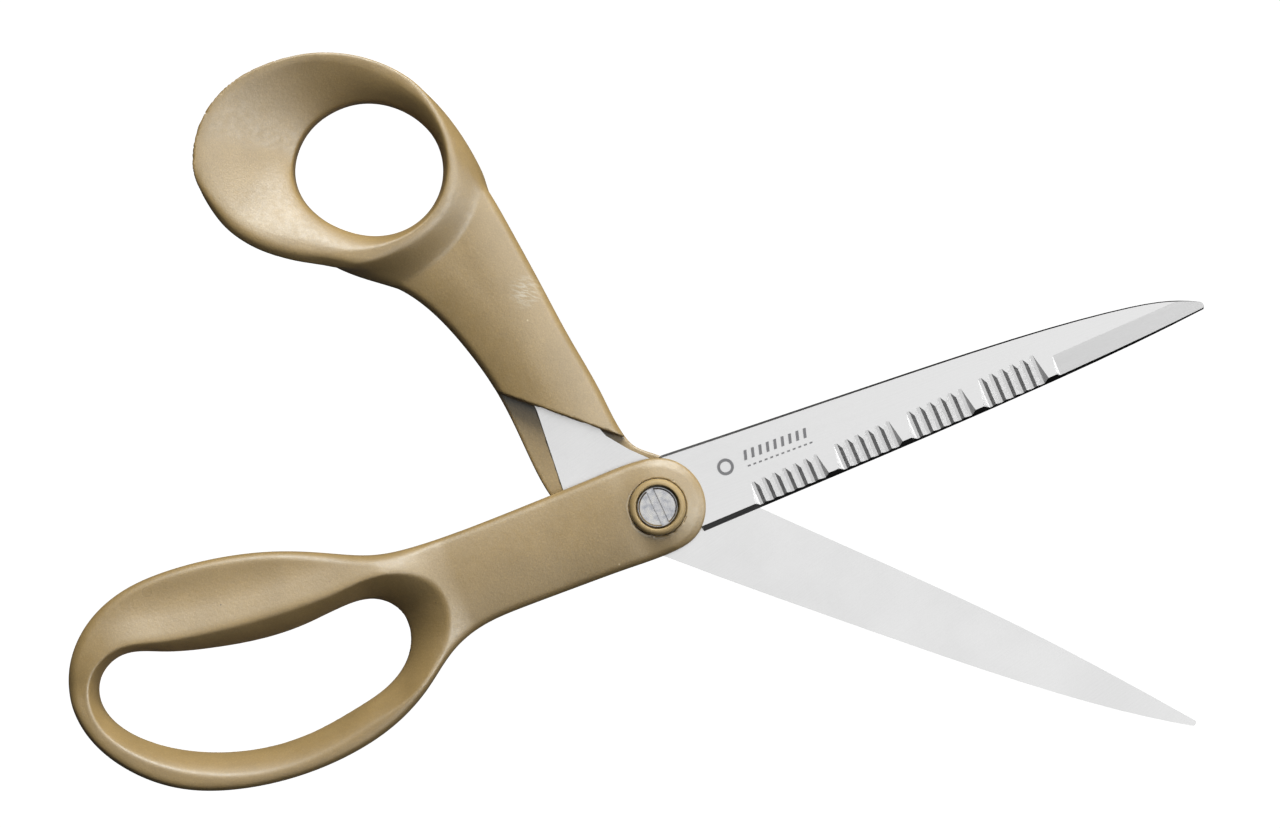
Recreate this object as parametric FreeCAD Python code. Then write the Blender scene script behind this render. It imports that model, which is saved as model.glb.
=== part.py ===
import FreeCAD, Part
import math
import os

# Dressmaking shears with fluted front blade and moulded handles, drawn open.
#
# Frame: the origin is the pivot axis where it crosses the shear plane, the plane that the
# two flat blade faces slide on. +X runs along the front blade to its tip, +Z points up to
# the screw head and +Y to the side of the front blade's back. The front half lies above
# the shear plane ahead of the pivot. The rear half is drawn closed, in the same frame, and
# turned to its open place at the end. All lengths are millimetres, all angles degrees.

os.makedirs("parts", exist_ok=True)

V = FreeCAD.Vector
ORIGIN = V(0, 0, 0)
AXIS_X = V(1, 0, 0)
AXIS_Z = V(0, 0, 1)

# --- Driving dimensions -------------------------------------------------------------------

open_angle = 42.27           # between the two blades as drawn
lap_gap = 0.1                # between the halves at the shear plane
blade_thickness = 2.0
half_thickness = 4.6         # shanks and bosses, each side of the shear plane
moulding_radius = 2.0        # rounded edges of the shanks

lap_face = lap_gap / 2
blade_outer = lap_face + blade_thickness

# Blades: ground edge, chamfered back, and flutes pressed into the front one
bevel_width = 1.2
back_chamfer = 0.5
tip_bevel_share = 0.45       # what is left of the bevel's width at the tip
nose_bulge = 0.25            # the tip's rounding, as a share of its width
flute_pitch = 2.36
flute_floor = 0.65           # flat width of one flute
flute_wall_run = 0.75        # from the floor up to the ridge beside it
flute_ridge = 0.27           # ridge height above the floor
flute_slope = 11.5           # the floors sink towards the cutting edge
flute_turn = 3.4             # the flutes stand square to the cutting edge
flute_flank = 1.8            # height and run of the 45 degree flank that ends a group
tip_flat = 40.0              # the ground flat behind the tip, cut like one wide flute

# Each group: X and Y of its first flute's top corner, number of flutes
flute_groups = [
    (20.05, -2.0, 7),
    (39.0, -0.6, 6),
    (55.5, 0.5, 6),
    (72.0, 1.8, 6),
]
tip_flat_corner = (88.25, 1.0)

# Pivot
boss_bore = 12.2
collar_diameter = 11.8
collar_top = 5.3
collar_floor = 2.85
collar_pocket = 9.1
collar_rounding = 1.0        # the collar's outer rim
collar_lip = 0.3             # its rounded inner rim
sleeve_diameter = 7.0
sleeve_wall_fit = 0.05
bearing_bore = 5.1
shoulder_diameter = 5.0
head_diameter = 8.0
head_low = 3.25
head_top = 5.0
slot_width = 1.5
slot_depth = 0.9
slot_chamfer = 0.15
slot_angle = 95.0
thread_diameter = 4.0
thread_end = -4.35
thread_fit = 0.05
washer_inner = 2.65
washer_outer = 4.15
washer_thickness = 0.22
washer_low = 2.87
washer_dish = 0.12
nut_pocket = 9.6
nut_flange = 9.0
nut_flange_thickness = 0.6
nut_across_flats = 7.0
nut_low = -4.25

# Handles
finger_loop_half = 6.5
finger_dish_tube = 8.4       # the dish beside the finger loop is a torus-shaped hollow
finger_dish_bend = 180.0
finger_dish_centre = V(-95.0, 16.9, 9.35)
thumb_rim_top = 8.2
thumb_waist = 2.4            # height of the thumb ring's middle outline
thumb_rim_low = -8.0
rim_overcut = 0.2            # the hole cutters run this far past the rims
flare_steps = [0.0, 0.45, 0.75, 0.92, 1.0]   # shares of the height where a hole is outlined
anchor_hole = 3.6            # holes in the tangs that the moulding flows through


# --- Shape helpers ------------------------------------------------------------------------

def at_height(points, z):
    return [V(x, y, z) for x, y in points]


def spline_edge(points, z):
    curve = Part.BSplineCurve()
    curve.interpolate(Points=at_height(points, z))
    return curve.toShape()


def spline_ring(points, z):
    curve = Part.BSplineCurve()
    curve.interpolate(Points=at_height(points, z), PeriodicFlag=True)
    return Part.Wire(curve.toShape())


def prism(wire, height):
    return Part.Face(wire).extrude(V(0, 0, height))


def polygon_prism(points, z_low, z_high):
    corners = at_height(points, z_low)
    return prism(Part.makePolygon(corners + corners[:1]), z_high - z_low)


def cylinder(diameter, z_low, z_high, centre=(0, 0)):
    base = V(centre[0], centre[1], z_low)
    return Part.makeCylinder(diameter / 2, z_high - z_low, base, AXIS_Z)


def rounded_prism(points, z_low, z_high, radius):
    """A prism of a smooth closed outline with its two rims rounded."""
    solid = prism(spline_ring(points, z_low), z_high - z_low)
    rims = [edge for edge in solid.Edges if edge.BoundBox.ZLength < 0.001]
    return solid.makeFillet(radius, rims)


def loft(levels, ruled=False):
    """A solid through smooth closed outlines, each given as (height, points)."""
    return Part.makeLoft([spline_ring(points, z) for z, points in levels], True, ruled)


def flared(narrow, wide, z_narrow, z_wide):
    """Outlines that widen from one to the other along a quarter of an ellipse."""
    levels = []
    for step in flare_steps:
        share = 1 - math.sqrt(1 - step * step)
        points = [(a + share * (c - a), b + share * (d - b))
                  for (a, b), (c, d) in zip(narrow, wide)]
        levels.append((z_narrow + step * (z_wide - z_narrow), points))
    return levels


# --- Blades -------------------------------------------------------------------------------
# Both blades are drawn the same way up: flat face down at the shear plane, back towards +Y.

def blade_wire(back, edge, tang, z, share):
    """The blade's outline at one height; share goes from 0 at the flat face to 1 on top."""
    tip_x = back[-1][0]
    taper = [1 - (1 - tip_bevel_share) * (x / tip_x) ** 6 for x, y in edge]
    edge_inset = [bevel_width * share * left for left in taper]
    inset_edge = [(x, y + inset) for (x, y), inset in zip(edge, edge_inset)]
    chamfer = back_chamfer if share == 1 else 0.0
    inset_back = [(x, y - chamfer * (1 - 0.6 * x / tip_x)) for x, y in back]
    high, low = inset_back[-1], inset_edge[0]
    bulge = nose_bulge * (high[1] - low[1])
    nose = ((high[0] + low[0]) / 2 + bulge, (high[1] + low[1]) / 2)
    nose_arc = Part.Arc(V(*inset_back[-1], z), V(*nose, z), V(*inset_edge[0], z)).toShape()
    edges = [spline_edge(inset_back, z), nose_arc, spline_edge(inset_edge, z)]
    corners = at_height([inset_edge[-1]] + tang + [inset_back[0]], z)
    for start, end in zip(corners, corners[1:]):
        edges.append(Part.makeLine(start, end))
    return Part.Wire(edges)


def blade_blank(back, edge, tang, pivot_hole, anchors):
    shares = [0.0, 1 - back_chamfer / blade_thickness, 1.0]
    wires = []
    for share in shares:
        wires.append(blade_wire(back, edge, tang, lap_face + share * blade_thickness, share))
    blank = Part.makeLoft(wires, True, True)
    blank = blank.cut(cylinder(pivot_hole, -1, blade_outer + 1))
    for centre in anchors:
        blank = blank.cut(cylinder(anchor_hole, -1, blade_outer + 1, centre))
    return blank


def flute_cutter(corner_x, corner_y, count, floor):
    """The tool that presses a row of flutes: a comb section drawn out down the slope."""
    section = [(-flute_flank, flute_flank), (0.0, 0.0)]
    for k in range(count - 1):
        start = k * flute_pitch
        section.append((start + floor, 0.0))
        section.append((start + floor + flute_wall_run, flute_ridge))
        section.append((start + flute_pitch, 0.0))
    last = (count - 1) * flute_pitch + floor
    section += [(last, 0.0), (last + flute_flank, flute_flank)]
    corners = [V(u, 0, w) for u, w in section]
    reach = 12.0
    slope = math.radians(flute_slope)
    down = V(0, -reach * math.cos(slope), -reach * math.sin(slope))
    tool = Part.Face(Part.makePolygon(corners + corners[:1])).extrude(down)
    tool.rotate(ORIGIN, AXIS_Z, flute_turn)
    tool.translate(V(corner_x, corner_y, blade_outer))
    return tool


def make_front_blade():
    back = [(4.5, 9.8), (30, 9.0), (60, 8.1), (85, 7.0), (105, 5.2), (116, 3.0), (121.2, 0.8)]
    edge = [(121.4, -0.85), (105, -2.65), (87, -4.1), (53, -6.1), (7.4, -8.2)]
    tang = [(7.0, -6.8), (4.5, -7.7), (-13, -8.3), (-20, -5.2), (-50, -4.4), (-53, -2.0),
            (-53, 2.0), (-50, 4.4), (-20, 5.4), (-13, 8.3), (1.0, 8.6)]
    blade = blade_blank(back, edge, tang, sleeve_diameter, [(-32, 0), (-44, 0)])
    for corner_x, corner_y, count in flute_groups:
        blade = blade.cut(flute_cutter(corner_x, corner_y, count, flute_floor))
    return blade.cut(flute_cutter(*tip_flat_corner, 1, tip_flat))


def make_rear_blade():
    back = [(4.5, 9.1), (20, 8.7), (45, 7.7), (75, 6.2), (95, 4.6), (112, 2.35), (121.0, 0.6)]
    edge = [(121.2, -0.6), (105, -2.6), (80, -5.1), (50, -6.7), (7.4, -8.4)]
    tang = [(7.0, -7.2), (5.0, -8.4), (-10, -8.9), (-15.5, -9.7), (-17, -10.4),
            (-50, -38.4), (-55, -38.6), (-58, -33.0), (-45, -21.4), (-31, -9.3),
            (-19.7, 4.0), (-16.5, 6.9), (-12, 8.3), (1.0, 8.6)]
    anchors = [(-36, -19.6), (-47, -29.4)]
    blade = blade_blank(back, edge, tang, thread_diameter + 2 * thread_fit, anchors)
    blade.rotate(ORIGIN, AXIS_X, 180)
    return blade


# --- Handles ------------------------------------------------------------------------------

def make_finger_handle(blade):
    shank_outline = [(9.9, 0), (7.2, 6.8), (0, 10.0), (-12, 10.1), (-28, 9.6), (-44, 9.4),
                     (-58, 10.6), (-68, 12), (-70, 0), (-68, -21), (-60, -19.6),
                     (-52, -14.6), (-44, -11.2), (-28, -9.9), (-12, -9.9), (0, -9.9),
                     (7.1, -6.9)]
    shank = rounded_prism(shank_outline, -half_thickness, half_thickness, moulding_radius)

    side = [(-129, 1), (-126, 13), (-115, 21.2), (-103, 22.9), (-85, 20.7), (-70, 15.6),
            (-58, 10.4), (-46, 6), (-44, -3), (-50, -13), (-65, -22.5), (-88, -26.8),
            (-110, -22.3), (-122, -14)]
    crest = [(-127, 1), (-124.5, 9.5), (-115, 13.2), (-103, 11.6), (-85, 9.4), (-70, 8.6),
             (-58, 7.8), (-50, 4), (-48.5, -4), (-52, -13), (-65, -21.5), (-88, -25.8),
             (-109, -21.6), (-120.5, -13.5)]
    loop = loft([(-finger_loop_half, crest), (0, side), (finger_loop_half, crest)])

    waist = [(-123.4, 2), (-121.5, 7.2), (-112, 8.7), (-100, 5), (-85, 2.6), (-70, 2.9),
             (-62, 2.2), (-57.8, -3.5), (-60, -11.2), (-68, -16.2), (-85, -19.2),
             (-100, -17.6), (-113, -12), (-120.6, -5)]
    mouth = [(-125.2, 1.5), (-122.5, 8.8), (-113.5, 10.8), (-101, 8.2), (-85, 6.6),
             (-70, 6), (-58, 5), (-51, -3.5), (-54, -12.6), (-65.5, -19.8), (-86, -24.2),
             (-106, -20.6), (-117, -14.2), (-123.6, -6)]
    mouth_z = finger_loop_half + rim_overcut
    lower = flared(waist, mouth, 0, -mouth_z)
    upper = flared(waist, mouth, 0, mouth_z)
    hole = loft(lower[::-1] + upper[1:], True)

    dish = Part.makeTorus(finger_dish_bend, finger_dish_tube, ORIGIN, V(0, 1, 0))
    dish.translate(finger_dish_centre + V(0, 0, finger_dish_bend))

    # Right of this diagonal only the upper layer is left, to make room for the rear boss
    lap = polygon_prism([(-41.2, 10.4), (-18.0, -10.4), (-18.0, -30), (20, -30), (20, 30),
                         (-41.2, 30)], -20, lap_face)

    handle = shank.fuse(loop).cut(hole).cut(dish).cut(lap)
    return handle.cut(cylinder(boss_bore, -1, half_thickness + 1)).cut(blade)


def make_thumb_handle(blade):
    shank_outline = [(9.9, 0), (7.0, 7.0), (0, 9.9), (-8, 10.0), (-15, 13.0), (-30, 25.5),
                     (-45, 38.2), (-60, 50.3), (-70, 57.5), (-78, 45), (-74, 26),
                     (-65, 22.4), (-55, 18.7), (-45, 13.2), (-30, 1.2), (-22, -5.7),
                     (-13, -9.6), (0, -9.9), (7.0, -7.0)]
    shank = rounded_prism(shank_outline, -half_thickness, half_thickness, moulding_radius)

    rim_top = [(-119, 38), (-115.5, 50), (-105, 60), (-88, 64.4), (-75, 61.5), (-66, 54),
               (-61.5, 44), (-65, 34), (-74, 24.6), (-88, 19.4), (-100, 19.4),
               (-113, 25.6)]
    rim_waist = [(-112, 40), (-109, 50.5), (-101, 59.3), (-87, 63.6), (-74, 61.2),
                 (-66, 54.4), (-60.5, 44.5), (-63, 34.5), (-72, 27.2), (-85, 24.4),
                 (-96, 25.2), (-107, 30.5)]
    rim_low = [(-102, 42), (-100, 50), (-95, 56.6), (-86, 61), (-74, 60.4), (-66, 54.6),
               (-62, 45.5), (-64, 36), (-70, 29), (-81, 25.2), (-91, 26.6), (-99, 33)]
    rim = loft([(thumb_rim_low, rim_low), (thumb_waist, rim_waist), (thumb_rim_top, rim_top)])

    hole_top = [(-116.6, 38), (-113.3, 48.8), (-104, 57.8), (-88, 62.2), (-76, 59.4),
                (-68.6, 53), (-65.4, 44), (-68, 35.4), (-75.6, 27.2), (-88, 22.2),
                (-99, 21.9), (-110.8, 27.6)]
    hole_low = [(-97.8, 41.5), (-96.2, 48), (-92, 53.4), (-85, 56.6), (-76, 56.2),
                (-69.4, 51.6), (-66.8, 44.6), (-68.6, 36.6), (-74.4, 31.2), (-83, 29.2),
                (-90.4, 30.2), (-96, 35)]
    hole = loft(flared(hole_low, hole_top, thumb_rim_low - rim_overcut,
                       thumb_rim_top + rim_overcut), True)

    # Below the ledge only the lower layer is left, to make room for the front boss
    ledge = [(-60, 9.2), (-41, 9.9), (-12.0, 10.95), (-9, 30), (20, 30), (20, -30), (-60, -30)]
    lap = polygon_prism(ledge, -lap_face, 20)

    handle = shank.fuse(rim).cut(hole).cut(lap)
    pocket = cylinder(nut_pocket, -half_thickness - 1, -lap_face)
    return handle.cut(pocket).cut(blade)


# --- Pivot --------------------------------------------------------------------------------

def make_pivot_collar():
    collar = cylinder(collar_diameter, blade_outer, collar_top)
    collar = collar.fuse(cylinder(sleeve_diameter - sleeve_wall_fit, lap_face, blade_outer))
    collar = collar.cut(cylinder(collar_pocket, collar_floor, collar_top + 1))
    collar = collar.cut(cylinder(bearing_bore, -1, collar_top))
    rims = [edge for edge in collar.Edges if abs(edge.BoundBox.ZMin - collar_top) < 0.001]
    rims.sort(key=lambda edge: edge.BoundBox.XLength)
    return collar.makeFillet(collar_lip, rims[:1]).makeFillet(collar_rounding, rims[1:])


def make_pivot_screw():
    head = cylinder(head_diameter, head_low, head_top)
    rim = [edge for edge in head.Edges if edge.BoundBox.ZMin > head_top - 0.001]
    head = head.makeChamfer(0.3, rim)
    side, top = slot_width / 2, head_top + slot_chamfer
    section = [(-side, head_top - slot_depth), (side, head_top - slot_depth),
               (side, head_top - slot_chamfer), (side + 2 * slot_chamfer, top),
               (-side - 2 * slot_chamfer, top), (-side, head_top - slot_chamfer)]
    corners = [V(-head_diameter, y, z) for y, z in section]
    slot = Part.Face(Part.makePolygon(corners + corners[:1])).extrude(V(2 * head_diameter, 0, 0))
    slot.rotate(ORIGIN, AXIS_Z, slot_angle)
    shoulder = cylinder(shoulder_diameter, -lap_face, head_low)
    thread = cylinder(thread_diameter, thread_end, -lap_face)
    end = [edge for edge in thread.Edges if edge.BoundBox.ZMax < thread_end + 0.001]
    thread = thread.makeChamfer(0.4, end)
    return head.cut(slot).fuse(shoulder).fuse(thread).removeSplitter()


def make_spring_washer():
    """A dished ring that keeps the blades pressed together."""
    section = [(washer_inner, washer_low + washer_dish), (washer_outer, washer_low)]
    corners = [V(r, 0, z) for r, z in section]
    corners += [V(r, 0, z + washer_thickness) for r, z in reversed(section)]
    return Part.Face(Part.makePolygon(corners + corners[:1])).revolve(ORIGIN, AXIS_Z, 360)


def make_pivot_nut():
    flange_low = -blade_outer - nut_flange_thickness
    nut = cylinder(nut_flange, flange_low, -blade_outer)
    radius = nut_across_flats / math.sqrt(3)
    turns = [math.radians(60 * k) for k in range(6)]
    hexagon = [(radius * math.cos(turn), radius * math.sin(turn)) for turn in turns]
    nut = nut.fuse(polygon_prism(hexagon, nut_low, flange_low))
    return nut.cut(cylinder(thread_diameter + 2 * thread_fit, nut_low - 1, 0))


# --- Assembly -----------------------------------------------------------------------------

front_blade = make_front_blade()
rear_blade = make_rear_blade()
front_half = {
    "front_blade": front_blade,
    "finger_handle": make_finger_handle(front_blade),
    "pivot_collar": make_pivot_collar(),
}
rear_half = {
    "rear_blade": rear_blade,
    "thumb_handle": make_thumb_handle(rear_blade),
    "pivot_nut": make_pivot_nut(),
}
turned_in_place = {
    "pivot_screw": make_pivot_screw(),
    "spring_washer": make_spring_washer(),
}
for shape in rear_half.values():
    shape.rotate(ORIGIN, AXIS_Z, -open_angle)

for nodes in (front_half, rear_half, turned_in_place):
    for name, shape in nodes.items():
        shape.exportStep("parts/" + name + ".step")
        print(name, "valid", shape.isValid(), "solids", len(shape.Solids),
              "volume", round(shape.Volume, 1))
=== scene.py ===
import math

import bpy
import numpy as np
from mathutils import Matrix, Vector


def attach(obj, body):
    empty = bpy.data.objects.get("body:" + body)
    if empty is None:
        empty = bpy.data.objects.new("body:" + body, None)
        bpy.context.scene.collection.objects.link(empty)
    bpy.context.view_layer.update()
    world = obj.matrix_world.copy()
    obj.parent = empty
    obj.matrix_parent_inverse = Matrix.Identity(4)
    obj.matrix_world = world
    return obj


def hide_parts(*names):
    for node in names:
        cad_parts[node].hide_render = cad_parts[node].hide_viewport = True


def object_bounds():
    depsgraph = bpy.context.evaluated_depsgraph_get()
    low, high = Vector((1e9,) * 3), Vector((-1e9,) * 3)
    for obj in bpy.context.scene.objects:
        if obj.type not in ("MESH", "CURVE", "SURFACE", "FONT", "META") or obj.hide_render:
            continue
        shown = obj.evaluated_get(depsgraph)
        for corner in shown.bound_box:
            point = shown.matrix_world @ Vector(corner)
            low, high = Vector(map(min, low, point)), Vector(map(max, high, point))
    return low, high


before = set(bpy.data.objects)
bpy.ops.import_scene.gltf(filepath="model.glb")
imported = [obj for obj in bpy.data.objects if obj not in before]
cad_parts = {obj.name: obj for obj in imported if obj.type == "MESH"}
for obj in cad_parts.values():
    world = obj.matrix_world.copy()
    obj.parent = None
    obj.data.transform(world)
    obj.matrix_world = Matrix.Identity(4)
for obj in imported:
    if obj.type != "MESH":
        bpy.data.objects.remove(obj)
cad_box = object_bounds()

# The looks of the dressmaking shears. Handles are smooth implicit solids, worked out in
# millimetres on a grid and written as meshes in metres. Steel parts and the collar keep
# their CAD meshes.

MM = 0.001

# --- Sizes, in millimetres and degrees --------------------------------------------------------

OPEN_ANGLE = 42.27           # between the blades at rest; the rear half is drawn closed
LAP_FACE = 0.12              # moulded faces stay this far from the shear plane
HALF_THICKNESS = 4.6
FINGER_HALF = 6.4
FINGER_WAIST = 2.4           # the finger hole is narrowest this far below the middle
WING_SLOPE = 0.40            # the finger rest falls this steeply from the hole's rim,
WING_WIDTH = 7.5             # and as far out as this
THUMB_TOP = 8.2
RING_LEAN = 0.08             # the ring's mouth leans: its near edge stands higher
RING_MIDDLE = 42.0
RIM_ROLL = 5.2               # the ring's near rim rolls over across this width,
RIM_FALL = 0.21              # falling by this times the width squared
THUMB_LOW = -8.0
THUMB_WAIST = 2.4
SHANK_CROWN = 1.6            # how far the shanks' faces fall off towards their edges,
CROWN_WIDTH = 10.0           # over this width
BORE_RADIUS = 5.97
NUT_POCKET_RADIUS = 4.8
RING_FILLET = 8.0            # between the thumb ring and its shank
MARK_HEIGHT = 2.26           # the marks' plane, 0.21 above the front blade's highest face
FLASH_HEIGHT = -0.06         # the flash strip's plane, 0.01 under the rear blade's inner face
FINGER_HEIGHTS = (-8, 8)     # the grids reach from the first height to the second
THUMB_HEIGHTS = (-9.5, 12.0)

STEEL_NODES = ["front_blade", "rear_blade", "pivot_screw", "pivot_nut", "spring_washer"]

GRID_STEP = 0.4
MAP_STEP = 0.25


# --- Outlines: smooth closed curves and their distance maps ---------------------------------

def closed_curve(points, per_span=12):
    """Points along the periodic cubic spline through the given ones."""
    p = np.array(points, float)
    n = len(p)
    h = np.linalg.norm(np.roll(p, -1, 0) - p, axis=1)
    before = np.roll(h, 1)
    matrix = np.zeros((n, n))
    rows = np.arange(n)
    matrix[rows, rows] = 2 * (before + h)
    matrix[rows, (rows - 1) % n] += before
    matrix[rows, (rows + 1) % n] += h
    slope = (np.roll(p, -1, 0) - p) / h[:, None]
    bend = np.linalg.solve(matrix, 6 * (slope - np.roll(slope, 1, 0)))
    t = np.arange(per_span) / per_span
    out = []
    for i in range(n):
        j = (i + 1) % n
        u = (t * h[i])[:, None]
        v = h[i] - u
        a = bend[i] * v ** 3 / (6 * h[i]) + bend[j] * u ** 3 / (6 * h[i])
        b = (p[i] / h[i] - bend[i] * h[i] / 6) * v + (p[j] / h[i] - bend[j] * h[i] / 6) * u
        out.append(a + b)
    return np.concatenate(out)


def signed_distance(curve, x, y):
    """Distance from each point to a closed polyline, negative inside it."""
    best = np.full(x.shape, 1e9)
    inside = np.zeros(x.shape, bool)
    for (x0, y0), (x1, y1) in zip(curve, np.roll(curve, -1, 0)):
        dx, dy = x1 - x0, y1 - y0
        t = np.clip(((x - x0) * dx + (y - y0) * dy) / (dx * dx + dy * dy), 0, 1)
        best = np.minimum(best, (x - x0 - t * dx) ** 2 + (y - y0 - t * dy) ** 2)
        if y0 != y1:
            inside ^= ((y0 > y) != (y1 > y)) & (x < dx * (y - y0) / dy + x0)
    return np.where(inside, -1, 1) * np.sqrt(best)


class Outline:
    """A closed plan curve that gives its signed distance anywhere in a window."""

    def __init__(self, points, window):
        self.x0, self.y0, x1, y1 = window
        xs = np.arange(self.x0, x1 + MAP_STEP, MAP_STEP)
        ys = np.arange(self.y0, y1 + MAP_STEP, MAP_STEP)
        grid_x, grid_y = np.meshgrid(xs, ys, indexing="ij")
        self.map = signed_distance(closed_curve(points), grid_x, grid_y)

    def __call__(self, x, y):
        u = np.clip((x - self.x0) / MAP_STEP, 0, self.map.shape[0] - 1.001)
        v = np.clip((y - self.y0) / MAP_STEP, 0, self.map.shape[1] - 1.001)
        i, j = u.astype(int), v.astype(int)
        s, t = u - i, v - j
        m = self.map
        low = m[i, j] * (1 - s) + m[i + 1, j] * s
        high = m[i, j + 1] * (1 - s) + m[i + 1, j + 1] * s
        return low * (1 - t) + high * t


# --- Implicit solids: a field is negative inside --------------------------------------------

def round_max(a, b, radius):
    """Intersection of two solids with the edge between them rounded."""
    u, v = a + radius, b + radius
    corner = np.hypot(np.maximum(u, 0), np.maximum(v, 0))
    return np.minimum(np.maximum(u, v), 0) + corner - radius


def round_min(a, b, radius):
    """Union of two solids with a fillet between them."""
    return -round_max(-a, -b, radius)


def smooth_step(start, end, value):
    t = np.clip((value - start) / (end - start), 0, 1)
    return t * t * (3 - 2 * t)


def soft_abs(z, blunt=0.7):
    return np.sqrt(z * z + blunt * blunt) - blunt


def soft_min(a, b, width):
    """The smaller of two numbers, with the change from one to the other spread out."""
    overlap = np.maximum(width - np.abs(a - b), 0) / width
    return np.minimum(a, b) - overlap ** 2 * width / 4


def rounded_share(share, power):
    """Height of a rounded funnel from its spread: steep at the throat, level at the mouth."""
    return (1 - (1 - share) ** power) ** (1 / power)


def crown(outline_distance):
    """Fall of a convex face below its middle, from the distance to its outline."""
    depth = np.clip(-outline_distance, 0, CROWN_WIDTH)
    return SHANK_CROWN * (1 - depth / CROWN_WIDTH) ** 2


def beside_line(x, y, start, end):
    """Distance to the left of the line from start to end; negative on its right."""
    dx, dy = end[0] - start[0], end[1] - start[1]
    return (dx * (y - start[1]) - dy * (x - start[0])) / math.hypot(dx, dy)


def surface_net(field, window, heights, step):
    """Quads round the field's zero surface, with the points pulled onto it."""
    x0, y0, x1, y1 = window
    z_low, z_high = heights
    origin = np.array([x0, y0, z_low])
    axes = [np.arange(low, high + step, step)
            for low, high in ((x0, x1), (y0, y1), (z_low, z_high))]
    values = field(*np.meshgrid(*axes, indexing="ij"))
    solid = values < 0
    shape = np.array(values.shape) - 1
    total = np.zeros((*shape, 3))
    count = np.zeros(tuple(shape))
    corners = [(i, j, k) for i in (0, 1) for j in (0, 1) for k in (0, 1)]

    def shifted(array, corner):
        return array[tuple(slice(c, c + n) for c, n in zip(corner, shape))]

    for axis in range(3):
        for corner in corners:
            if corner[axis]:
                continue
            far = tuple(c + (axis == i) for i, c in enumerate(corner))
            a, b = shifted(values, corner), shifted(values, far)
            crossing = (a < 0) != (b < 0)
            t = np.where(crossing, a / np.where(crossing, a - b, 1), 0)
            for i in range(3):
                total[..., i] += np.where(crossing, corner[i] + (t if i == axis else 0), 0)
            count += crossing
    active = count > 0
    index = np.full(tuple(shape), -1)
    index[active] = np.arange(active.sum())
    cells = np.argwhere(active)
    points = origin + (cells + total[active] / count[active][:, None]) * step

    quads = []
    for axis in range(3):
        b, c = [(1, 2), (2, 0), (0, 1)][axis]
        low = [slice(1, -1)] * 3
        high = [slice(1, -1)] * 3
        low[axis], high[axis] = slice(0, -1), slice(1, None)
        first, second = solid[tuple(low)], solid[tuple(high)]
        for leaving in (True, False):
            edges = np.argwhere((first == leaving) & (second != leaving))
            start = edges + np.array([int(i != axis) for i in range(3)])
            ring = []
            for db, dc in ((0, 0), (-1, 0), (-1, -1), (0, -1)):
                cell = start.copy()
                cell[:, b] += db
                cell[:, c] += dc
                ring.append(index[tuple(cell.T)])
            order = ring if leaving else ring[::-1]
            quads.append(np.stack(order, 1))
    for _ in range(3):
        points = pull_to_surface(field, points, 0.6 * step)
    return points, np.concatenate(quads)


def gradient(field, points, reach=0.05):
    parts = []
    for i in range(3):
        offset = np.zeros(3)
        offset[i] = reach
        ahead = field(*(points + offset).T)
        behind = field(*(points - offset).T)
        parts.append((ahead - behind) / (2 * reach))
    return np.stack(parts, 1)


def pull_to_surface(field, points, limit):
    value = field(*points.T)
    slope = gradient(field, points)
    size = np.maximum((slope ** 2).sum(1), 0.05)
    move = -slope * (value / size)[:, None]
    length = np.linalg.norm(move, axis=1)
    return points + move * np.minimum(1, limit / np.maximum(length, 1e-9))[:, None]


def turned(points, degrees):
    a = math.radians(degrees)
    x, y, z = np.asarray(points, float).T
    return np.stack([x * math.cos(a) - y * math.sin(a), x * math.sin(a) + y * math.cos(a), z], 1)


def mesh_piece(name, points_mm, faces, material, smooth=True):
    mesh = bpy.data.meshes.new(name)
    mesh.from_pydata((np.asarray(points_mm) * MM).tolist(), [], [list(map(int, f)) for f in faces])
    mesh.validate()
    mesh.update()
    if smooth:
        mesh.shade_smooth()
    mesh.materials.append(material)
    piece = bpy.data.objects.new(name, mesh)
    bpy.context.scene.collection.objects.link(piece)
    return piece


# --- Finger handle ---------------------------------------------------------------------------

FINGER_WINDOW = (-133, -31, 14, 27)


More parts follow.
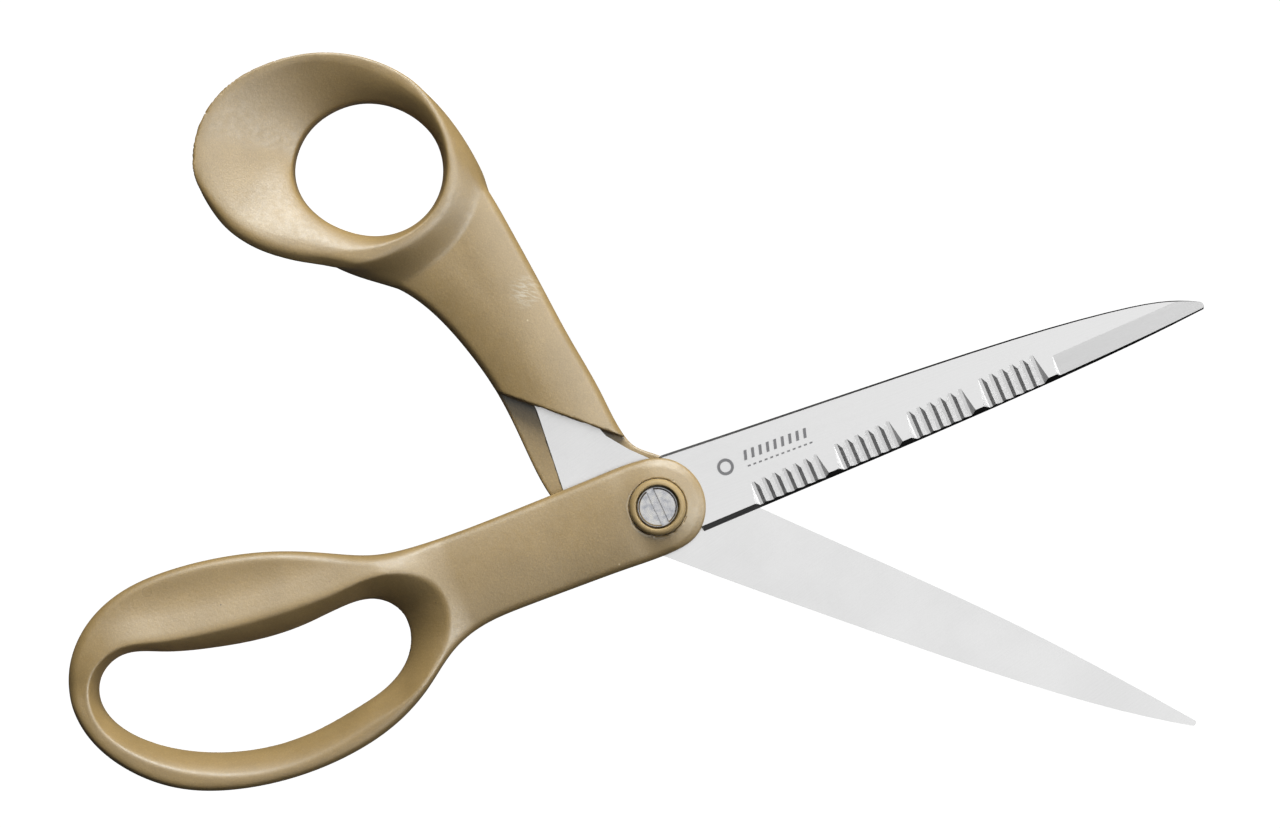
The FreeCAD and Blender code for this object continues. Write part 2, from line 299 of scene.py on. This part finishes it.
def finger_field():
    silhouette = Outline(
        [(10.15, 0), (8.85, -5.0), (5.3, -8.65), (0, -9.95), (-10, -10), (-22, -9.95), (-34, -10.0),
         (-43, -10.7), (-50, -13.2), (-58, -18.9), (-68, -24.0), (-78, -26.3), (-90, -26.8),
         (-102, -25.1), (-114, -20.5), (-123, -12.8), (-128, -4), (-129, 3.5), (-126.7, 11.4),
         (-120, 18.6), (-111, 22.3), (-101, 23), (-89, 21.7), (-78, 18.9), (-68, 14.8),
         (-59, 11.1), (-50, 9.8), (-36, 9.6), (-22, 9.95), (-9, 10.4), (0, 10.35), (5.5, 8.75),
         (8.95, 4.9)], FINGER_WINDOW)
    waist = Outline(
        [(-123.4, 2.2), (-121.6, 6.9), (-116, 9.65), (-108, 7.5), (-98, 4.6), (-88, 2.8),
         (-78, 2.4), (-69, 3.15), (-62, 2.1), (-58.3, -1.8), (-58.6, -8.8), (-64, -14.5),
         (-74, -17.7), (-86, -19.3), (-98, -18.1), (-109, -14.2), (-118, -8.1),
         (-122.4, -2.3)], FINGER_WINDOW)
    mouth = Outline(
        [(-125.4, 1.6), (-123.4, 7.4), (-116.4, 11.3), (-108, 10.1), (-98, 8.4), (-88, 7.4),
         (-78, 6.9), (-68, 6.8), (-58, 6.7), (-49.2, 1.6), (-48.5, -7), (-55.8, -16.2),
         (-69, -21.7), (-83, -24.6), (-98, -23.8), (-111, -18.4), (-120.5, -10.6),
         (-124.6, -4)], FINGER_WINDOW)
    lap_line = ((-41.2, 10.4), (-18.0, -10.4))

    def field(x, y, z):
        rise = soft_abs(z)
        loop = smooth_step(-44, -60, x)
        radius = np.hypot(x, y)
        plan = silhouette(x, y)
        fall = crown(plan) * (1 - 0.45 * smooth_step(-6, 2, x)) + 0.35 * smooth_step(8, 24, -x)
        half = HALF_THICKNESS - fall * (1 - loop)
        half = half + (FINGER_HALF - HALF_THICKNESS) * loop
        half = half - np.maximum(radius - 8.6, 0) * 0.30 * smooth_step(-1, 2, x)
        half = half - np.clip(radius - BORE_RADIUS, 0, 3.6) * 0.15 * smooth_step(-9, 3, x)
        beyond = mouth(x, y)
        wing = smooth_step(-46, -58, x) * smooth_step(2, 8, y)
        top = half - WING_SLOPE * wing * soft_min(np.maximum(beyond, 0), WING_WIDTH, 3.0)
        rounding = 1.5 + 0.3 * loop - 1.0 * smooth_step(-1, 2, x)
        body = round_max(plan + 0.05 * rise, np.maximum(z - top, -z - half), rounding)
        from_throat = waist(x, y)
        share = np.clip(from_throat / np.maximum(from_throat - beyond, 0.1), 0, 1)
        power = 1.5 - 0.4 * smooth_step(-72, -62, x)
        slope = half - (half + FINGER_WAIST) * (1 - rounded_share(share, power))
        body = round_max(body, z - slope, 0.6)
        under = np.clip((-FINGER_WAIST - z) / (FINGER_HALF + FINGER_WAIST), 0, 1)
        body = round_max(body, -(1 - under) * from_throat - under * beyond, 0.9)
        lap = np.maximum(beside_line(x, y, *lap_line) * -1, z - LAP_FACE)
        body = round_max(body, -lap, 0.25)
        body = round_max(body, BORE_RADIUS - radius, 0.15)
        return body

    return field


# --- Thumb handle (drawn in the closed position) ----------------------------------------------

THUMB_WINDOW = (-123, -14, 14, 69)


def thumb_field():
    shank = Outline(
        [(9.9, 0), (8.6, 4.9), (5, 8.6), (0, 9.95), (-5, 10), (-9.5, 10.05), (-12.6, 11.6),
         (-20, 17.8), (-30, 25.7), (-40, 34), (-50, 42.2), (-58, 48.4), (-65.6, 53.0), (-73, 55.6),
         (-82, 54), (-84, 40), (-82, 24), (-74, 22.1), (-66, 21.8), (-58, 19.7), (-50, 15.9),
         (-40, 9.5), (-30, 0.7), (-22.5, -5.7), (-16.5, -8.8), (-9, -9.9), (0, -9.9),
         (5.2, -8.45), (8.6, -4.9)], THUMB_WINDOW)
    outer_top = Outline(
        [(-118.4, 37.8), (-116.1, 47.7), (-109.7, 55.6), (-99.8, 61.9), (-88, 64.2),
         (-77.2, 62.0), (-69.3, 55.2), (-65.2, 46.6), (-65.6, 37.5), (-70.6, 29.0),
         (-77.8, 21.3), (-88.2, 17.2), (-99.0, 16.3), (-109.3, 19.7), (-115.8, 27.8)], THUMB_WINDOW)
    outer_waist = Outline(
        [(-113.5, 39.5), (-111, 48.6), (-105.4, 56.2), (-97.5, 61.3), (-87, 63.6), (-76.8, 61.6),
         (-68.4, 55.2), (-62.8, 46.6), (-63.0, 37.6), (-67.8, 30.0), (-76, 24.8), (-86, 22.3),
         (-96.6, 22.5), (-105.4, 26.2), (-111.2, 32.2)], THUMB_WINDOW)
    outer_low = Outline(
        [(-102, 41.5), (-100.8, 48.4), (-97.6, 54.2), (-92.6, 58.6), (-86, 60.6), (-76.2, 59.6),
         (-68.6, 54.4), (-63.6, 46.4), (-63.2, 38.6), (-67.4, 31.8), (-74.6, 27), (-83, 25.2),
         (-90.4, 26.2), (-96.4, 29.6), (-100.4, 34.8)], THUMB_WINDOW)
    hole_top = Outline(
        [(-118.0, 37.9), (-115.7, 47.4), (-109.3, 55.2), (-99.7, 61.4), (-88, 63.7), (-77, 61.0),
         (-69.6, 54.4), (-65.9, 46), (-66.8, 37.6), (-71.6, 30.6), (-79, 25.2), (-88.4, 22.0),
         (-98.0, 21.3), (-107, 23.8), (-114.6, 29.6)], THUMB_WINDOW)
    hole_low = Outline(
        [(-97.8, 41), (-97, 46.4), (-94, 51.4), (-89.6, 55), (-84, 56.8), (-77, 56.3),
         (-71, 53), (-67.2, 46.6), (-67.2, 39.8), (-70.2, 34.2), (-75.6, 30.4), (-82, 29.1),
         (-88, 29.7), (-93.2, 32), (-96.6, 36)], THUMB_WINDOW)
    ledge_line = ((-41.0, 9.75), (-12.0, 10.95))

    def through_levels(z, low, waist, top):
        """The parabola over height that meets three maps at their own heights."""
        a, b, c = THUMB_LOW, THUMB_WAIST, THUMB_TOP
        share_low = (z - b) * (z - c) / ((a - b) * (a - c))
        share_waist = (z - a) * (z - c) / ((b - a) * (b - c))
        share_top = (z - a) * (z - b) / ((c - a) * (c - b))
        return share_low * low + share_waist * waist + share_top * top

    def field(x, y, z):
        lifted = z + RING_LEAN * (y - RING_MIDDLE) * smooth_step(-4, 4, z)
        height = np.clip(lifted, THUMB_LOW - 1, THUMB_TOP + 1)
        outer = through_levels(height, outer_low(x, y), outer_waist(x, y), outer_top(x, y))
        right = smooth_step(-84, -66, x)
        near_side = smooth_step(33, 21, y) * (1 - right)
        roll = np.maximum(RIM_ROLL * near_side + outer_top(x, y), 0)
        rim = THUMB_TOP - RIM_FALL * roll ** 2
        ring = round_max(outer, lifted - rim, 0.4 + np.maximum(2.0 * right, 0.5 * near_side))
        ring = round_max(ring, THUMB_LOW - z, 1.5)
        plan = shank(x, y)
        bar = round_max(plan + 0.03 * soft_abs(z), np.abs(z) - HALF_THICKNESS + crown(plan), 1.5)
        body = round_min(ring, bar, RING_FILLET)
        from_throat, from_rim = hole_low(x, y), -hole_top(x, y)
        share = np.clip(from_throat / np.maximum(from_throat + from_rim, 0.1), 0, 1)
        left = smooth_step(-84, -104, x)
        throat = THUMB_WAIST + 0.5 - 2.4 * left + 1.2 * smooth_step(40, 28, y)
        slope = THUMB_TOP - (THUMB_TOP - throat) * (1 - rounded_share(share, 1.5 - 0.4 * left))
        body = round_max(body, lifted - slope, 0.6)
        body = round_max(body, -from_throat, 0.6)
        ledge = np.maximum(beside_line(x, y, *ledge_line), -LAP_FACE - z)
        body = round_max(body, -ledge, 0.3)
        body = round_max(body, THUMB_LOW - z, 1.0)
        return round_max(body, NUT_POCKET_RADIUS - np.hypot(x, y), 0.2)

    return field


# --- Materials ---------------------------------------------------------------------------------

class Graph:
    """A short way to write a node material."""

    def __init__(self, name):
        self.material = bpy.data.materials.new(name)
        self.material.use_nodes = True
        self.nodes = self.material.node_tree.nodes
        self.links = self.material.node_tree.links
        self.shader = self.nodes["Principled BSDF"]
        self.position = self.add("ShaderNodeTexCoord").outputs["Object"]

    def add(self, kind, inputs=None, **settings):
        node = self.nodes.new(kind)
        for key, value in settings.items():
            setattr(node, key, value)
        for key, value in (inputs or {}).items():
            self.feed(node.inputs[key], value)
        return node

    def feed(self, socket, value):
        if isinstance(value, bpy.types.NodeSocket):
            self.links.new(value, socket)
        else:
            socket.default_value = value

    def set(self, **values):
        for key, value in values.items():
            self.feed(self.shader.inputs[key.replace("_", " ")], value)

    def place(self, scale, turn):
        rotation = (0, 0, math.radians(turn))
        node = self.add("ShaderNodeMapping", {"Vector": self.position, "Rotation": rotation})
        stretched = self.add("ShaderNodeVectorMath", {0: node.outputs[0], 1: scale},
                             operation="MULTIPLY")
        return stretched.outputs[0]

    def noise(self, scale, detail=2.0, roughness=0.5, vector=None):
        inputs = {"Scale": scale, "Detail": detail, "Roughness": roughness,
                  "Vector": vector or self.position}
        return self.add("ShaderNodeTexNoise", inputs).outputs["Fac"]

    def ramp(self, value, stops):
        node = self.add("ShaderNodeValToRGB", {"Fac": value})
        elements = node.color_ramp.elements
        while len(elements) < len(stops):
            elements.new(0.5)
        for element, (place, colour) in zip(elements, stops):
            element.position = place
            element.color = (*colour, 1)
        return node.outputs["Color"]

    def grey_ramp(self, value, stops):
        return self.ramp(value, [(place, (grey, grey, grey)) for place, grey in stops])

    def mix(self, factor, first, second, mode="MIX"):
        node = self.add("ShaderNodeMix", data_type="RGBA", blend_type=mode)
        self.feed(node.inputs["Factor"], factor)
        for socket, value in ((node.inputs[6], first), (node.inputs[7], second)):
            if isinstance(value, tuple):
                value = (*value, 1)
            self.feed(socket, value)
        return node.outputs[2]

    def maths(self, operation, first, second=0.0):
        node = self.add("ShaderNodeMath", {0: first, 1: second}, operation=operation)
        return node.outputs[0]

    def distance(self, point, reach):
        """Distance from a point, as a share of the reach."""
        away = self.add("ShaderNodeVectorMath", {0: self.position, 1: point}, operation="DISTANCE")
        return self.maths("DIVIDE", away.outputs["Value"], reach)

    def bump(self, height, distance, strength):
        inputs = {"Height": height, "Distance": distance, "Strength": strength}
        return self.add("ShaderNodeBump", inputs).outputs["Normal"]


def handle_plastic(name, pale, dark, gate=None, scuff=None, speck_scale=260.0):
    """Khaki moulded composite: fine flecks, a few coloured specks, a slight orange-peel skin."""
    g = Graph(name)
    cloud = g.noise(140.0, 3.0)
    colour = g.ramp(cloud, [(0.3, dark), (0.7, pale)])
    fleck = g.noise(3200.0, 2.0, 0.6)
    light = g.grey_ramp(fleck, [(0.35, 0.86), (0.62, 1.0), (0.74, 1.16)])
    colour = g.mix(1.0, colour, light, "MULTIPLY")
    cells = g.add("ShaderNodeTexVoronoi", {"Vector": g.position, "Scale": speck_scale})
    near = g.grey_ramp(cells.outputs["Distance"], [(0.035, 1.0), (0.075, 0.0)])
    pick = g.add("ShaderNodeSeparateColor", {"Color": cells.outputs["Color"]})
    chosen = g.maths("GREATER_THAN", pick.outputs["Red"], 0.86)
    shade = g.ramp(pick.outputs["Green"], [(0.3, (0.07, 0.045, 0.02)), (0.5, (0.40, 0.20, 0.06)),
                                           (0.8, (0.62, 0.50, 0.30))])
    mask = g.maths("MULTIPLY", near, chosen)
    colour = g.mix(g.maths("MULTIPLY", mask, 0.75), colour, shade)
    if gate:
        # The gate mark's rim is a painted shade line with a painted highlight line just outside it, about
        # 1.5 mm from its middle.
        rim = g.grey_ramp(g.distance(gate, 0.004), [(0.33, 1.0), (0.37, 0.84), (0.41, 1.08), (0.45, 1.0)])
        colour = g.mix(1.0, colour, rim, "MULTIPLY")
    if scuff:
        patch = g.grey_ramp(g.distance(scuff, 0.0045), [(0.1, 0.42), (0.95, 0.0)])
        streaks = g.noise(1.0, 3.0, 0.6, g.place((500.0, 1900.0, 500.0), 35.0))
        scratch = g.grey_ramp(streaks, [(0.46, 0.0), (0.60, 1.0)])
        colour = g.mix(g.maths("MULTIPLY", patch, scratch), colour, (0.62, 0.60, 0.52))
    g.set(Base_Color=colour)
    g.set(Roughness=g.grey_ramp(g.noise(900.0, 2.0), [(0.3, 0.45), (0.7, 0.55)]))
    skin = g.noise(1500.0, 3.0, 0.55)
    g.set(Normal=g.bump(skin, 0.00006, 0.55))
    g.shader.inputs["Specular IOR Level"].default_value = 1.0
    g.shader.inputs["IOR"].default_value = 1.55
    g.shader.inputs["Specular Tint"].default_value = (0.88, 0.96, 1.0, 1.0)
    return g.material


def brushed_steel(name, turn, dim, bright, grain=(60.0, 2600.0, 2600.0), blotch=0.0):
    """Ground steel with fine scratches along one direction, and painted shade on its steep bevels."""
    g = Graph(name)
    streak = g.noise(1.0, 4.0, 0.65, g.place(grain, turn))
    broad = g.noise(60.0, 3.0)
    tone = g.grey_ramp(streak, [(0.25, dim), (0.75, bright)])
    smudge = g.grey_ramp(broad, [(0.35, 1.0 - blotch), (0.65, 1.0)])
    colour = g.mix(1.0, tone, smudge, "MULTIPLY")
    # Painted shade: faces tilted more than about 50 degrees from level get a nearly black base colour.
    normal = g.add("ShaderNodeNewGeometry").outputs["True Normal"]
    upright = g.add("ShaderNodeSeparateXYZ", {"Vector": normal}).outputs["Z"]
    steep = g.grey_ramp(g.maths("ABSOLUTE", upright), [(0.50, 0.06), (0.62, 1.0)])
    colour = g.mix(1.0, colour, steep, "MULTIPLY")
    g.set(Base_Color=colour, Metallic=1.0)
    g.set(Roughness=g.grey_ramp(streak, [(0.2, 0.26), (0.8, 0.40)]))
    g.set(Normal=g.bump(streak, 0.00001, 0.35))
    return g.material


def turned_steel(name):
    """Lathe-turned steel: faint rings round the pivot, cloudy smudges."""
    g = Graph(name)
    smudge = g.ramp(g.noise(750.0, 3.0, 0.6), [(0.32, (0.33, 0.34, 0.37)), (0.5, (0.50, 0.50, 0.51)),
                                               (0.7, (0.58, 0.57, 0.54))])
    rings = g.add("ShaderNodeTexWave", {"Vector": g.position, "Scale": 900.0, "Distortion": 1.0},
                  wave_type="RINGS", rings_direction="Z")
    tone = g.grey_ramp(rings.outputs["Fac"], [(0.2, 0.92), (0.8, 1.04)])
    g.set(Base_Color=g.mix(1.0, smudge, tone, "MULTIPLY"), Metallic=1.0)
    g.set(Roughness=g.grey_ramp(g.noise(2200.0, 2.0), [(0.3, 0.24), (0.7, 0.36)]))
    return g.material


def plain_material(name, colour, roughness, grain=2500.0):
    g = Graph(name)
    speckle = g.grey_ramp(g.noise(grain, 2.0), [(0.3, 0.93), (0.7, 1.05)])
    g.set(Base_Color=g.mix(1.0, colour, speckle, "MULTIPLY"))
    spread = [(0.3, roughness - 0.05), (0.7, roughness + 0.05)]
    g.set(Roughness=g.grey_ramp(g.noise(grain / 3, 2.0), spread))
    return g.material


# --- Flat marks: thin shapes close to a face, with no thickness -------------------------------

def flat_marks(name, loops, height, material, turn=0.0):
    """One flat polygon for each loop of plan points."""
    points, faces = [], []
    for loop in loops:
        first = len(points)
        points += [(x, y, height) for x, y in loop]
        faces.append(range(first, len(points)))
    return mesh_piece(name, turned(points, -turn), faces, material, False)


def ring_pieces(x, y, inner, outer, count=24):
    """A flat ring cut into short pieces."""
    loops = []
    for k in range(count):
        a, b = 2 * math.pi * k / count, 2 * math.pi * (k + 1) / count
        loops.append([(x + r * math.cos(t), y + r * math.sin(t))
                      for r, t in ((inner, a), (outer, a), (outer, b), (inner, b))])
    return loops


def blade_marks():
    """A plain ring, a row of slanted bars and a row of dashes etched on the front blade."""
    loops = ring_pieces(16.2, 2.9, 1.15, 1.75)
    for k in range(9):
        x = 20.4 + 1.65 * k
        loops.append([(x, 2.8), (x + 0.62, 2.8), (x + 1.12, 4.8), (x + 0.5, 4.8)])
    for k in range(12):
        x = 20.6 + 1.25 * k
        loops.append([(x, 1.3), (x + 0.62, 1.3), (x + 0.7, 1.62), (x + 0.08, 1.62)])
    return loops


def flash_line():
    """The ragged edge of moulded plastic beside the tang, as a thin closed strip."""
    path = np.array([(-31, 9.3), (-28.9, 6.9), (-26.5, 4.0), (-24.2, 1.3), (-22, -1.2), (-19.7, -4)])
    along = np.linspace(0, len(path) - 1, 60)
    x = np.interp(along, range(len(path)), path[:, 0])
    y = np.interp(along, range(len(path)), path[:, 1])
    width = 0.13 + 0.07 * np.sin(5.3 * along) * np.sin(2.1 * along + 1.0)
    left = [(px - w, py - w) for px, py, w in zip(x, y, width)]
    right = [(px + w, py + w) for px, py, w in zip(x, y, width)]
    return left + right[::-1]


# --- Pieces ------------------------------------------------------------------------------------

def dress(node, material):
    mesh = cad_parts[node].data
    mesh.materials.clear()
    mesh.materials.append(material)


KHAKI_PALE = (0.312, 0.209, 0.076)
KHAKI_DARK = (0.272, 0.181, 0.064)
GATE_PLACE = (-0.106, 0.0204, 0.0045)       # in metres, like every place in a material
SCUFF_PLACE = (-0.0099, 0.0516, 0.0045)
REAR_GRAIN_TURN = -14.7
REAR_GRAIN = (140.0, 2600.0, 2600.0)

finger_plastic = handle_plastic("khaki_finger", KHAKI_PALE, KHAKI_DARK, gate=GATE_PLACE)
thumb_plastic = handle_plastic("khaki_thumb", KHAKI_PALE, KHAKI_DARK, scuff=SCUFF_PLACE)

points, quads = surface_net(finger_field(), FINGER_WINDOW, FINGER_HEIGHTS, GRID_STEP)
finger = mesh_piece("finger_handle_moulding", points, quads, finger_plastic)
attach(finger, "front_half")
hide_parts("finger_handle")

points, quads = surface_net(thumb_field(), THUMB_WINDOW, THUMB_HEIGHTS, GRID_STEP)
thumb = mesh_piece("thumb_handle_moulding", turned(points, -OPEN_ANGLE), quads, thumb_plastic)
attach(thumb, "rear_half")
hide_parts("thumb_handle")

front_steel = brushed_steel("front_blade_steel", turn=0.0, dim=0.65, bright=0.72)
rear_steel = brushed_steel("rear_blade_steel", turn=REAR_GRAIN_TURN, dim=0.66, bright=0.74,
                           grain=REAR_GRAIN, blotch=0.05)
dress("front_blade", front_steel)
dress("rear_blade", rear_steel)
etched = plain_material("etched_grey", (0.30, 0.30, 0.31), 0.55)
marks = flat_marks("front_blade_marks", blade_marks(), MARK_HEIGHT, etched)
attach(marks, "front_half")
flash = plain_material("flash_brown", (0.055, 0.042, 0.02), 0.7)
flash_strip = flat_marks("tang_flash_line", [flash_line()], FLASH_HEIGHT, flash, OPEN_ANGLE)
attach(flash_strip, "rear_half")

dress("pivot_collar", plain_material("collar_plastic", (0.33, 0.235, 0.10), 0.6))
for node in ("pivot_screw", "pivot_nut", "spring_washer"):
    dress(node, turned_steel(node + "_steel"))


# --- Floor, light and camera ---------------------------------------------------------------------

def make_floor():
    gap, reach = 0.0003, 3.0
    low = cad_box[0][2] - gap
    corners = [(-reach, -reach), (reach, -reach), (reach, reach), (-reach, reach)]
    points = [(x / MM, y / MM, low / MM) for x, y in corners]
    paper = plain_material("floor_paper", (0.4, 0.4, 0.4), 0.85, grain=300.0)
    glow = paper.node_tree.nodes["Principled BSDF"].inputs
    glow["Emission Color"].default_value = (1, 1, 1, 1)
    glow["Emission Strength"].default_value = 1.05
    floor = mesh_piece("floor", points, [(0, 1, 2, 3)], paper, False)
    floor.visible_glossy = False
    floor.visible_diffuse = False


WALL_DISTANCE = 1.4          # four soft walls that light only the steel and its marks
WALL_HEIGHT = 0.5
WALL_POWER = 2.4
IMAGE_TURN = -20.30          # the front blade points up and to the right in the picture
IMAGE_RIGHT = Vector((math.cos(math.radians(IMAGE_TURN)), math.sin(math.radians(IMAGE_TURN)), 0))
IMAGE_UP = Vector((-IMAGE_RIGHT.y, IMAGE_RIGHT.x, 0))


def area_light(name, right, up, height, size, power):
    """A softbox aimed at the shears, placed by the picture's directions in metres."""
    light = bpy.data.lights.new(name, "AREA")
    light.shape = "RECTANGLE"
    light.size, light.size_y = size
    light.energy = power
    lamp = bpy.data.objects.new(name, light)
    lamp.location = IMAGE_RIGHT * right + IMAGE_UP * up + Vector((0, 0, height))
    lamp.rotation_euler = (-lamp.location).to_track_quat("-Z", "Y").to_euler()
    bpy.context.scene.collection.objects.link(lamp)
    return lamp


def light_only(name, objects, *lamps):
    """Makes the lamps light the given objects and nothing else."""
    lit = bpy.data.collections.new(name)
    for piece in objects:
        lit.objects.link(piece)
    for lamp in lamps:
        lamp.light_linking.receiver_collection = lit


def make_lights():
    key = area_light("key_softbox", 0.25, 1.42, 0.92, (1.6, 0.9), 53.0)
    right = area_light("right_softbox", 1.5, 0.0, 0.8, (0.7, 0.7), 13.0)
    top = area_light("top_softbox", 0.0, 0.6, 1.6, (0.7, 0.7), 3.5)
    top.visible_glossy = False
    sheen = area_light("sheen_softbox", 0.89, -0.16, 1.44, (0.7, 0.7), 17.0)
    sheen.visible_diffuse = False
    moulded = [finger, thumb, flash_strip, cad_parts["pivot_collar"]]
    light_only("moulded_pieces", moulded, key, right, top, sheen)

    ceiling = area_light("ceiling_panel", 0.5, 0.35, 1.5, (1.8, 2.2), 15.2)
    ceiling.rotation_euler = (0, 0, math.radians(IMAGE_TURN))
    side = area_light("side_panel", 1.3, 0.0, 0.45, (0.9, 0.9), 8.0)
    steel = [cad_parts[node] for node in STEEL_NODES] + [marks]
    walls = []
    for k in range(4):
        azimuth = math.radians(45 + 90 * k)
        right, up = WALL_DISTANCE * math.cos(azimuth), WALL_DISTANCE * math.sin(azimuth)
        walls.append(area_light(f"wall_{k}", right, up, WALL_HEIGHT, (1.9, 0.8), WALL_POWER))
    light_only("steel_pieces", steel, ceiling, side, *walls)

    world = bpy.data.worlds.new("studio")
    world.use_nodes = True
    background = world.node_tree.nodes["Background"]
    background.inputs["Color"].default_value = (1, 1, 1, 1)
    background.inputs["Strength"].default_value = 0.04
    bpy.context.scene.world = world


VIEW_CENTRE = (0.00329, 0.01946)


def make_camera():
    distance = 1.2
    view_width = 0.2670
    data = bpy.data.cameras.new("camera")
    data.sensor_width = 36.0
    data.lens = data.sensor_width * distance / view_width
    data.clip_start = 0.01
    camera = bpy.data.objects.new("camera", data)
    camera.location = (*VIEW_CENTRE, distance + 0.003)
    camera.rotation_euler = (0, 0, math.radians(IMAGE_TURN))
    bpy.context.scene.collection.objects.link(camera)
    bpy.context.scene.camera = camera


make_floor()
make_lights()
make_camera()
bpy.context.scene.view_settings.view_transform = "Standard"
